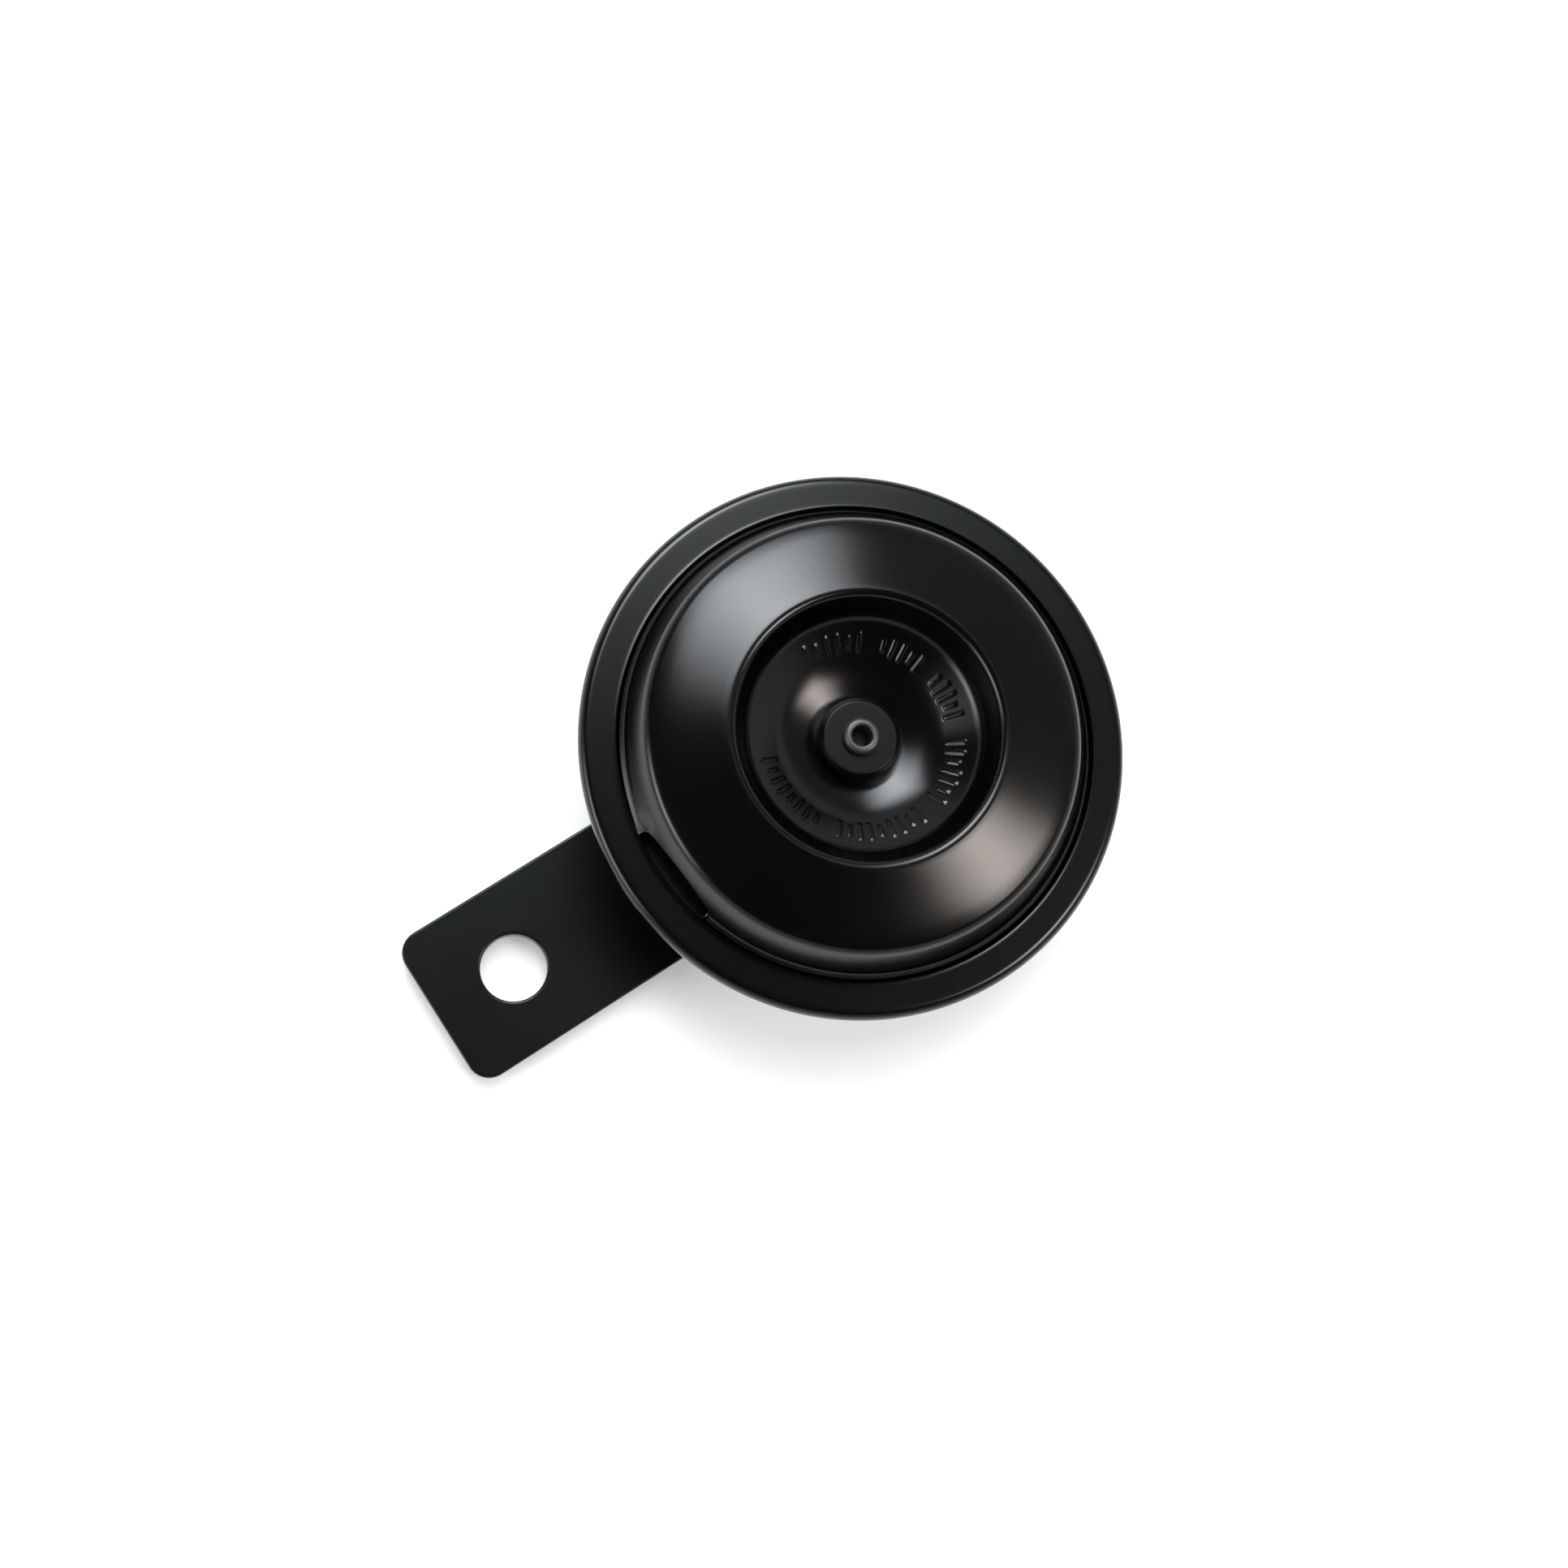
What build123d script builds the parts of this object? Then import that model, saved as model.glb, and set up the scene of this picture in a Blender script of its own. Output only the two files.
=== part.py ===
from build123d import *
from math import atan2, cos, degrees, radians, sin, sqrt, tan
import os

# Electric disc horn with a mounting strap, millimetres.
# The horn's own axis is vertical and it faces up. Heights on the horn are measured from the
# middle of its rolled rim. The finished part stands with the centre of the strap's hole at the
# origin, the strap's underside on z = 0 and the strap pointing along -X.

# Rolled rim and what it clamps
ring_t = 0.6
roll_flat = 0.3
ring_front_w = 4.6
ring_back_w = 3.6
ring_edge_w = 1.1
ring_edge_rise = 0.33
ring_edge_bend_r = 2.5
clamp_clear = 0.1
gasket_t = 0.25
gasket_w = 2.4
diaphragm_t = 0.3
housing_t = 0.9
flange_w = 4.3

# Diaphragm: dropped middle and one corrugation
middle_drop = 0.7
step_in = 0.8
step_w = 2.4
step_bend_r = 1.0
corrugation_inset = 8.9
corrugation_w = 1.8
corrugation_depth = 0.7
corrugation_bend_r = 1.2

# Resonator disc on the front
disc_t = 0.8
disc_gap = 0.25
disc_stand = 0.9
disc_flat_edge = 0.45
dish_knee_share = 0.473
dish_rise_share = 0.309
recess_r = 16.75
recess_depth = 4.2
recess_lean = 1.85
cone_rise = 2.85
wall_rise = 4.15
wall_lean = 2.2
foot_w = 1.45
foot_rise = 0.15
lip_turn = 1.1
lip_lean = 0.1
disc_bends = [1.5, 14.0, 2.5, 1.15, 1.2, 0.5, 0.95]
notch_depth = 1.95
notch_half_w = 6.6
notch_corner_r = 0.65
notch_side_turns = [56.0, 34.0]
notch_angle = 184.4

# Stem, washers and plunger
stem_r = 2.3
stem_bore_r = 1.3
stem_bore_depth = 4.0
stem_mouth_r = 0.3
stem_end_r = 0.6
stem_stand = 1.3
stem_clear = 0.06
washer_r = 5.15
washer_t = 2.3
washer_bevel = 0.55
spacer_r = 8.0
spacer_t = 1.0
armature_over_core = 0.2
armature_dip = 0.9
collar_w = 3.1
collar_t = 0.9
collar_gap = 0.45
air_gap = 0.6

# Electromagnet
coil_cup_lean = 0.6
coil_cup_depth = 8.0
core_r = 6.0
stud_r = 4.0
stud_clear = 0.15
stud_chamfer = 0.5
bobbin_wall = 0.8
bobbin_clear = 0.1
winding_w = 5.5
winding_short = 0.5
yoke_seat_w = 1.2
yoke_bore_clear = 0.8
yoke_t = 1.2
lead_r = 0.45
lead_hole_r = 0.9
lead_exit_inset = 1.5
lead_exit_angle = 15.0
lead_clear = 0.05
lead_bend_r = 1.2
far_lead_bend_r = 3.0
far_lead_inset = 3.5
far_lead_angles = [60.0, 34.0, 4.0]

# Bends of the rear housing
cup_top_bend_r = 1.5
cup_floor_bend_r = 1.2
cup_lean = 0.1
coil_mouth_bend_r = 1.6
coil_floor_bend_r = 1.6

# Contact breaker, its stack on the +Y side
stack_inset = 4.3
stack_rivet_pitch = 5.6
rivet_r = 1.0
rivet_head_r = 1.8
rivet_head_t = 0.8
head_rounding = 0.45
rivet_clear = 0.05
live_clear = 0.6
plate_edge = 0.4
plate_corner_r = 0.4
stack_room = 2.55
lower_insulator_t = 1.7
strip_t = 0.5
contact_r = 1.5
contact_t = 0.7
contact_edge = 0.2
contact_offset = 8.5
leaf_t = 0.25
leaf_lap = 0.9
leaf_w = 5.2
upper_insulator_t = 0.7
strip_w = 6.0
tongue_corner_r = 0.8
screw_offset = 4.8
screw_r = 1.5
screw_stand = 0.45
screw_slot_w = 0.7
screw_slot_depth = 0.9
screw_nut_gap = 1.35
screw_nut_af = 5.5
screw_nut_t = 2.4
screw_nut_chamfer = 0.35
thread_clear = 0.05

# Terminals on the +X side
terminal_inset = 6.3
terminal_pitch = 11.0
blade_w = 6.3
blade_t = 0.8
blade_foot = 7.2
blade_back = 2.8
blade_out = 6.2
blade_down = 5.0
blade_bend_r = 1.0
blade_hole_r = 0.85
blade_tip = 1.2
inner_plate_w = 6.2
inner_plate_t = 1.2
outer_plate_w = 8.0
outer_plate_t = 1.5
plate_corner = 1.0
plate_side = 3.1
terminal_rivet_r = 1.5
terminal_head_r = 2.4
terminal_head_t = 0.8

# Strap and its fixing
strap_t = 2.5
strap_w = 21.6
strap_end = 11.5
strap_corner_r = 3.0
strap_edge_r = 0.35
hole_r = 4.35
hole_to_axis = 50.0
crank = 2.5
crank_run = 5.0
crank_gap = 1.5
crank_in_r = 1.5
lock_washer_r = 7.4
lock_washer_w = 1.7
lock_washer_t = 0.8
lock_teeth = 8
lock_tooth_w = 1.6
nut_af = 13.0
nut_t = 4.0
nut_chamfer = 0.7
stud_short = 0.3

# How far a cutting shape runs past the faces that it cuts
past = 1.0

# Radii and places that follow from the sizes above, from the horn's axis
roll_in_h = gasket_t + (diaphragm_t + housing_t) / 2
roll_h = roll_in_h + ring_t
roll_bend_r = roll_h - roll_flat / 2
bobbin_in_r = core_r + bobbin_clear
bobbin_out_r = bobbin_in_r + bobbin_wall + winding_w + winding_short
coil_cup_r = bobbin_out_r + bobbin_clear + coil_floor_bend_r
coil_mouth_r = coil_cup_r + coil_cup_lean
yoke_r = coil_mouth_r + coil_mouth_bend_r + yoke_seat_w
lead_exit_r = bobbin_out_r - lead_exit_inset
armature_r = core_r + armature_over_core
yoke_bore_r = armature_r + yoke_bore_clear
collar_r = armature_r + collar_w
screw_y = coil_mouth_r + housing_t + screw_nut_gap + screw_nut_af / 2
stack_y = screw_y + screw_offset
outer_cup_r = stack_y + stack_inset
stack_r = outer_cup_r + flange_w
clamp_in_r = stack_r - gasket_w
rim_r = stack_r + clamp_clear + roll_bend_r
ring_in_r = rim_r - ring_front_w
lip_r = ring_in_r - disc_gap - lip_lean
wall_foot_r = lip_r - foot_w
shoulder_r = wall_foot_r - wall_lean
dish_r = recess_r - recess_lean
disc_flat_r = washer_r + disc_flat_edge
stack_w = stack_rivet_pitch + 2 * (rivet_head_r + plate_edge)
stack_d = 2 * (rivet_head_r + plate_edge)
contact_y = stack_y - contact_offset
strip_reach = contact_offset + contact_r + contact_edge
leaf_reach = stack_y - collar_r + leaf_lap
terminal_x = outer_cup_r - terminal_inset
terminal_span = terminal_pitch + 2 * plate_side

# Heights that follow, from the middle of the rim
diaphragm_top = roll_in_h - gasket_t
diaphragm_low = diaphragm_top - diaphragm_t
flange_top = diaphragm_low - gasket_t
disc_seat_h = diaphragm_top - middle_drop
disc_top = disc_seat_h + disc_t
washer_top = disc_top + washer_t
stem_top = washer_top + stem_stand
spacer_top = disc_seat_h - diaphragm_t
shoulder_h = spacer_top - spacer_t
stack_top = diaphragm_low - stack_room - rivet_head_t
leaf_top = stack_top - upper_insulator_t
leaf_h = leaf_top - leaf_t
strip_top = leaf_h - 2 * contact_t
strip_h = strip_top - strip_t
floor_h = strip_h - lower_insulator_t
floor_out_h = floor_h - housing_t
yoke_top = floor_h + yoke_t
armature_foot = yoke_top - armature_dip
core_top = armature_foot - air_gap
body_depth = coil_cup_depth - floor_out_h
coil_floor_h = housing_t - body_depth
bobbin_low = coil_floor_h + bobbin_clear
bobbin_high = floor_h - bobbin_clear
pad_under_h = -body_depth - strap_t
washer_under_h = pad_under_h - lock_washer_t
nut_under_h = washer_under_h - nut_t
outer_plate_under = floor_out_h - outer_plate_t
blade_under = outer_plate_under - blade_t


def section(points, radii, thickness, side):
    """Upright section of a sheet: the filleted line of one face, thickened to one side."""
    line = FilletPolyline(*points, radius=radii)
    outline = offset(line, amount=thickness, side=side)
    return Plane.XZ * make_face(outline.edges())


def ring(inner_r, outer_r, low, high):
    """Flat ring between two radii and two heights."""
    profile = Pos((inner_r + outer_r) / 2, (low + high) / 2) * Rectangle(outer_r - inner_r, high - low)
    return revolve(Plane.XZ * profile, Axis.Z)


def rod(radius, x, y, low, high):
    """Upright round rod at x, y from one height to another."""
    return Pos(x, y, low) * extrude(Circle(radius), high - low)


def plate(width, depth, x, y, low, high, corner):
    """Flat rectangular plate with rounded corners."""
    return Pos(x, y, low) * extrude(RectangleRounded(width, depth, corner), high - low)


def hexagon_nut(af, thickness, bore_r, corner_cut, under):
    """Hexagon nut with its corners turned off at both faces."""
    body = extrude(RegularPolygon(af / 2, 6, major_radius=False), thickness)
    round_blank = rod(af / sqrt(3), 0, 0, 0, thickness)
    turned = chamfer(round_blank.edges().filter_by(GeomType.CIRCLE), corner_cut / sqrt(3), corner_cut)
    return Pos(0, 0, under) * (body & turned) - rod(bore_r, 0, 0, under - past, under + thickness + past)


def tone_disc():
    """Drawn disc: bowl-shaped recess, shallow cone, sloping wall and turned-down lip."""
    lip_low_h = diaphragm_top + disc_stand
    lip_h = lip_low_h + lip_turn
    foot_h = lip_h + foot_rise
    shoulder_top = foot_h + wall_rise
    recess_h = shoulder_top + cone_rise
    dish_h = recess_h - recess_depth
    knee_r = disc_flat_r + dish_knee_share * (dish_r - disc_flat_r)
    knee_h = disc_top + dish_rise_share * (dish_h - disc_top)
    points = [
        (stem_r + stem_clear, disc_top),
        (disc_flat_r, disc_top),
        (knee_r, knee_h),
        (dish_r, dish_h),
        (recess_r, recess_h),
        (shoulder_r, shoulder_top),
        (wall_foot_r, foot_h),
        (lip_r, lip_h),
        (lip_r + lip_lean, lip_low_h),
    ]
    disc = revolve(section(points, disc_bends, disc_t, Side.RIGHT), Axis.Z)
    return disc - notch_cutter(lip_low_h - past, shoulder_top)


def notch_cutter(low, high):
    """Upright block that cuts the notch in lip and wall foot.

    It has a flat inner end and rounded inner corners, and its sides close in towards the lip.
    """
    inner_r = lip_r - notch_depth
    reach = ring_in_r - inner_r
    inner, outer = [], []
    for side, turn in zip((-1, 1), notch_side_turns):
        corner_run = notch_corner_r / tan(radians(90 - turn) / 2)
        corner = notch_half_w + corner_run - notch_corner_r
        inner.append((inner_r, side * corner))
        outer.append((inner_r + reach, side * (corner - reach * tan(radians(turn)))))
    shape = make_face(Polyline(inner[0], inner[1], outer[1], outer[0], close=True))
    shape = fillet(shape.vertices().group_by(Axis.X)[0], notch_corner_r)
    return Rot(0, 0, notch_angle) * Pos(0, 0, low) * extrude(shape, high - low)


def tone_disc_washer():
    """Thick washer on the middle of the disc, its top edge bevelled."""
    blank = ring(stem_r + stem_clear, washer_r, disc_top, washer_top)
    rim = blank.edges().filter_by(GeomType.CIRCLE).group_by(Axis.Z)[-1].sort_by(SortBy.RADIUS)[-1]
    return chamfer(rim, washer_bevel)


def armature():
    """Steel plunger with a collar that works the breaker and a hollow stem riveted at the front."""
    collar_h = leaf_top + collar_gap
    body = rod(armature_r, 0, 0, armature_foot, shoulder_h)
    collar = rod(collar_r, 0, 0, collar_h, collar_h + collar_t)
    stem = rod(stem_r, 0, 0, shoulder_h, stem_top)
    bore = rod(stem_bore_r, 0, 0, stem_top - stem_bore_depth, stem_top + past)
    turned = body + collar + stem - bore
    mouth = turned.edges().filter_by(GeomType.CIRCLE).group_by(Axis.Z)[-1].sort_by(SortBy.RADIUS)
    turned = fillet(mouth[-1], stem_end_r)
    mouth = turned.edges().filter_by(GeomType.CIRCLE).group_by(Axis.Z)[-1].sort_by(SortBy.RADIUS)
    return fillet(mouth[0], stem_mouth_r)


def crimp_ring():
    """Ring rolled round the clamped edges, its inner edge on the front lifted a little."""
    points = [
        (rim_r - ring_back_w, -roll_h),
        (rim_r, -roll_h),
        (rim_r, roll_h),
        (ring_in_r + ring_edge_w, roll_h),
        (ring_in_r, roll_h + ring_edge_rise),
    ]
    bends = [roll_bend_r, roll_bend_r, ring_edge_bend_r]
    return revolve(section(points, bends, ring_t, Side.LEFT), Axis.Z)


def gasket(low):
    """Paper ring on one side of the diaphragm's clamped edge."""
    return ring(clamp_in_r, stack_r, low, low + gasket_t)


def diaphragm():
    """Thin sprung sheet: low flat middle, flat field and one ring-shaped corrugation."""
    step_r = spacer_r + step_in
    wave_r = clamp_in_r - corrugation_inset
    points = [
        (stem_r + stem_clear, disc_seat_h),
        (step_r, disc_seat_h),
        (step_r + step_w, diaphragm_top),
        (wave_r - corrugation_w, diaphragm_top),
        (wave_r, diaphragm_top - corrugation_depth),
        (wave_r + corrugation_w, diaphragm_top),
        (stack_r, diaphragm_top),
    ]
    bends = [step_bend_r] * 3 + [corrugation_bend_r, step_bend_r]
    return revolve(section(points, bends, diaphragm_t, Side.RIGHT), Axis.Z)


def spacer_washer():
    """Washer between the plunger's shoulder and the diaphragm."""
    return ring(stem_r + stem_clear, spacer_r, shoulder_h, spacer_top)


def rear_housing():
    """Drawn steel cup with a flange, a shallow floor and a deeper cup in its middle."""
    points = [
        (stack_r, flange_top),
        (outer_cup_r + cup_lean, flange_top),
        (outer_cup_r, floor_h),
        (coil_mouth_r, floor_h),
        (coil_cup_r, coil_floor_h),
        (stud_r + stud_clear, coil_floor_h),
    ]
    bends = [cup_top_bend_r, cup_floor_bend_r, coil_mouth_bend_r, coil_floor_bend_r]
    cup = revolve(section(points, bends, housing_t, Side.LEFT), Axis.Z)
    below = floor_out_h - past
    above = floor_h + past
    for x in stack_rivet_places():
        cup -= rod(rivet_r + rivet_clear, x, stack_y, below, above)
    for y in terminal_places():
        cup -= rod(terminal_rivet_r + live_clear, terminal_x, y, below, above)
    return cup - rod(screw_r + thread_clear, 0, screw_y, below, above)


def pole_core():
    """Fixed core of the magnet, shouldered down to the threaded stud that holds the strap."""
    core = rod(core_r, 0, 0, coil_floor_h, core_top)
    stud = rod(stud_r, 0, 0, nut_under_h + stud_short, coil_floor_h)
    whole = core + stud
    tip = whole.edges().filter_by(GeomType.CIRCLE).group_by(Axis.Z)[0]
    return chamfer(tip, stud_chamfer)


def coil_bobbin():
    """Moulded bobbin: a tube with a flange at each end."""
    tube = ring(bobbin_in_r, bobbin_in_r + bobbin_wall, bobbin_low, bobbin_high)
    for low in (bobbin_low, bobbin_high - bobbin_wall):
        tube += ring(bobbin_in_r, bobbin_out_r, low, low + bobbin_wall)
    return tube


def coil_winding():
    """Enamelled copper winding as one solid ring between the bobbin's flanges."""
    inner = bobbin_in_r + bobbin_wall
    return ring(inner, inner + winding_w, bobbin_low + bobbin_wall, bobbin_high - bobbin_wall)


def yoke_plate():
    """Steel ring over the coil that brings the flux round to the plunger."""
    body = ring(yoke_bore_r, yoke_r, floor_h, yoke_top)
    for x, y in lead_places():
        body -= rod(lead_hole_r, x, y, floor_h - past, yoke_top + past)
    return body


def lead_places():
    """Where the winding's two ends come up through the yoke plate."""
    turn = radians(lead_exit_angle)
    near = (lead_exit_r * cos(turn), lead_exit_r * sin(turn))
    beside = stack_w / 2 + lead_r + lead_clear
    return [near, (beside, sqrt(lead_exit_r ** 2 - beside ** 2))]


def stack_rivet_places():
    """X positions of the two rivets through the breaker's stack."""
    return [-stack_rivet_pitch / 2, stack_rivet_pitch / 2]


def terminal_places():
    """Y positions of the two terminals."""
    return [-terminal_pitch / 2, terminal_pitch / 2]


def contact_blank(reach, low, high, width):
    """Flat strip: a root under the stack's rivets and a tongue towards the middle."""
    root = plate(stack_w, stack_d, 0, stack_y, low, high, plate_corner_r)
    for x in stack_rivet_places():
        root -= rod(rivet_r + live_clear, x, stack_y, low - past, high + past)
    length = reach - stack_d / 2 + plate_corner_r
    tongue = Pos(0, -reach + length / 2) * Rectangle(width, length)
    tongue = fillet(tongue.vertices().group_by(Axis.Y)[0], tongue_corner_r)
    return root + Pos(0, stack_y, low) * extrude(tongue, high - low)


def fixed_contact_strip():
    """Stiff strip that carries the fixed contact and is bent up by the adjusting screw."""
    return contact_blank(strip_reach, strip_h, strip_top, strip_w)


def moving_contact_leaf():
    """Sprung leaf that reaches under the plunger's collar."""
    return contact_blank(leaf_reach, leaf_h, leaf_top, leaf_w)


def contact_points():
    """Two tungsten buttons that touch while the horn is at rest."""
    fixed = rod(contact_r, 0, contact_y, strip_top, strip_top + contact_t)
    moving = rod(contact_r, 0, contact_y, leaf_h - contact_t, leaf_h)
    return Compound(children=[fixed, moving])


def contact_insulators():
    """Three laminated plates that keep the strips apart from each other and from the housing."""
    levels = [(floor_h, strip_h), (strip_top, leaf_h), (leaf_top, stack_top)]
    plates = []
    for low, high in levels:
        blank = plate(stack_w, stack_d, 0, stack_y, low, high, plate_corner_r)
        for x in stack_rivet_places():
            blank -= rod(rivet_r + rivet_clear, x, stack_y, low - past, high + past)
        plates.append(blank)
    return Compound(children=plates)


def rivet(x, y, low, high, shank_r, head_r, head_t):
    """Rivet between two faces: a rounded head below and a flat tail above."""
    head = rod(head_r, x, y, low - head_t, low)
    head = fillet(head.edges().group_by(Axis.Z)[0], head_rounding)
    return head + rod(shank_r, x, y, low, high) + rod(head_r, x, y, high, high + head_t)


def contact_rivets():
    """Two rivets from the back of the housing through the whole stack."""
    rivets = [
        rivet(x, stack_y, floor_out_h, stack_top, rivet_r, rivet_head_r, rivet_head_t)
        for x in stack_rivet_places()
    ]
    return Compound(children=rivets)


def adjusting_screw():
    """Slotted screw in the back that sets the breaker."""
    low = floor_out_h - screw_nut_t - screw_stand
    shank = rod(screw_r, 0, screw_y, low, strip_h - thread_clear)
    slot = Pos(0, screw_y, low) * Box(2 * (screw_r + past), screw_slot_w, 2 * screw_slot_depth)
    return shank - slot


def adjusting_nut():
    """Nut that holds the adjusting screw against the back of the housing."""
    under = floor_out_h - screw_nut_t
    bore_r = screw_r + thread_clear
    nut = hexagon_nut(screw_nut_af, screw_nut_t, bore_r, screw_nut_chamfer, under)
    return Pos(0, screw_y, 0) * nut


def insulating_plate(width, low, high):
    """Flat plate across both terminals, with a hole for each rivet."""
    body = plate(width, terminal_span, terminal_x, 0, low, high, plate_corner)
    for y in terminal_places():
        body -= rod(terminal_rivet_r + rivet_clear, terminal_x, y, low - past, high + past)
    return body


def terminal_blade(y):
    """Push-on blade: flat foot under the plate, then bent away from the housing."""
    bend_x = terminal_x - blade_back + blade_foot
    points = [
        (terminal_x - blade_back, blade_under),
        (bend_x, blade_under),
        (bend_x + blade_out, blade_under - blade_down),
    ]
    profile = section(points, [blade_bend_r], blade_t, Side.LEFT)
    blade = Pos(0, y + blade_w / 2, 0) * extrude(profile, blade_w)
    tip_corners = blade.faces().sort_by(Axis.X)[-1].edges().filter_by(Axis.Y, reverse=True)
    blade = chamfer(tip_corners, blade_tip)
    slope = degrees(atan2(blade_down, blade_out))
    middle = Pos(bend_x + blade_out / 2, y, blade_under - blade_down / 2)
    blade -= middle * Rot(0, slope, 0) * Cylinder(blade_hole_r, 2 * (blade_t + past))
    return blade - rod(terminal_rivet_r + rivet_clear, terminal_x, y, blade_under - past, floor_out_h)


def terminal_blades():
    """The horn's two terminals."""
    return Compound(children=[terminal_blade(y) for y in terminal_places()])


def terminal_rivets():
    """Rivets that clamp each blade, both plates and the housing."""
    inner_top = floor_h + inner_plate_t
    rivets = [
        rivet(terminal_x, y, blade_under, inner_top, terminal_rivet_r, terminal_head_r, terminal_head_t)
        for y in terminal_places()
    ]
    return Compound(children=rivets)


def lead(points, bends):
    """Insulated wire along straight runs joined by arcs."""
    path = FilletPolyline(*points, radius=bends)
    start = Plane(path @ 0, z_dir=path % 0)
    return sweep(start * Circle(lead_r), path=path)


def coil_leads():
    """The winding's two ends and the wire from the leaf to the second terminal."""
    (ax, ay), (bx, by) = lead_places()
    low = bobbin_high
    tail_top = floor_h + inner_plate_t + terminal_head_t
    tail_run_h = tail_top + lead_r + lead_clear
    strip_run_h = (strip_h + strip_top) / 2
    leaf_run_h = (leaf_h + leaf_top) / 2
    ty = terminal_pitch / 2
    first = lead([(ax, ay, low), (ax, ay, tail_run_h), (terminal_x, ty, tail_run_h)], [lead_bend_r])
    second = lead([(bx, by, low), (bx, by, strip_run_h), (bx, stack_y, strip_run_h)], [lead_bend_r])
    far_r = outer_cup_r - far_lead_inset
    turns = [radians(angle) for angle in far_lead_angles]
    route = [(far_r * cos(turn), far_r * sin(turn), leaf_run_h) for turn in turns]
    far_end = (terminal_x, -ty, tail_run_h)
    third = lead([(bx, stack_y, leaf_run_h), *route, far_end], [far_lead_bend_r] * len(route))
    return Compound(children=[first, second, third])


def strap_bracket():
    """Cranked strap: flat end with the mounting hole, and a raised pad round the stud."""
    pad_r = strap_w / 2
    crank_end = hole_to_axis - coil_cup_r - housing_t - crank_gap
    points = [
        (-strap_end, 0),
        (crank_end - crank_run, 0),
        (crank_end, crank),
        (hole_to_axis + pad_r, crank),
    ]
    side_view = section(points, [crank_in_r + strap_t, crank_in_r], strap_t, Side.LEFT)
    folded = Pos(0, pad_r, 0) * extrude(side_view, strap_w)
    length = strap_end + hole_to_axis
    outline = Pos(-strap_end + length / 2, 0) * Rectangle(length, strap_w)
    outline = fillet(outline.vertices().group_by(Axis.X)[0], strap_corner_r)
    outline = outline + Pos(hole_to_axis, 0) * Circle(pad_r)
    strap = folded & Pos(0, 0, -past) * extrude(outline, crank + strap_t + 2 * past)
    strap -= rod(stud_r + stud_clear, hole_to_axis, 0, crank - past, crank + strap_t + past)
    strap -= rod(hole_r, 0, 0, -past, strap_t + past)
    mouth = strap.edges().filter_by(GeomType.CIRCLE).sort_by_distance((0, 0, strap_t))[0]
    return fillet(mouth, strap_edge_r)


def lock_washer():
    """Toothed washer between strap and nut."""
    band_in_r = lock_washer_r - lock_washer_w
    bore_r = stud_r + thread_clear
    washer = ring(band_in_r, lock_washer_r, washer_under_h, pad_under_h)
    tooth_h = (washer_under_h + pad_under_h) / 2
    tooth = Pos(band_in_r / 2 + plate_edge, 0, tooth_h) * Box(band_in_r, lock_tooth_w, lock_washer_t)
    for turn in range(lock_teeth):
        washer += Rot(0, 0, 360 / lock_teeth * turn) * tooth
    return washer - rod(bore_r, 0, 0, washer_under_h - past, pad_under_h + past)


def stud_nut():
    """Thin hexagon nut on the core's stud."""
    return hexagon_nut(nut_af, nut_t, stud_r + thread_clear, nut_chamfer, nut_under_h)


horn_place = Pos(hole_to_axis, 0, strap_t + crank + body_depth)

horn_parts = {
    "tone_disc": tone_disc(),
    "tone_disc_washer": tone_disc_washer(),
    "armature": armature(),
    "crimp_ring": crimp_ring(),
    "front_gasket": gasket(diaphragm_top),
    "diaphragm": diaphragm(),
    "rear_gasket": gasket(flange_top),
    "spacer_washer": spacer_washer(),
    "rear_housing": rear_housing(),
    "pole_core": pole_core(),
    "coil_bobbin": coil_bobbin(),
    "coil_winding": coil_winding(),
    "yoke_plate": yoke_plate(),
    "fixed_contact_strip": fixed_contact_strip(),
    "moving_contact_leaf": moving_contact_leaf(),
    "contact_points": contact_points(),
    "contact_insulators": contact_insulators(),
    "contact_rivets": contact_rivets(),
    "adjusting_screw": adjusting_screw(),
    "adjusting_nut": adjusting_nut(),
    "terminal_inner_plate": insulating_plate(inner_plate_w, floor_h, floor_h + inner_plate_t),
    "terminal_plate": insulating_plate(outer_plate_w, outer_plate_under, floor_out_h),
    "terminal_blades": terminal_blades(),
    "terminal_rivets": terminal_rivets(),
    "coil_leads": coil_leads(),
    "lock_washer": lock_washer(),
    "stud_nut": stud_nut(),
}

os.makedirs("parts", exist_ok=True)
for name, shape in horn_parts.items():
    export_step(horn_place * shape, f"parts/{name}.step")
export_step(strap_bracket(), "parts/strap_bracket.step")
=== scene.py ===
import bmesh
import bpy
import numpy as np
from mathutils import Matrix, Vector


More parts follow.
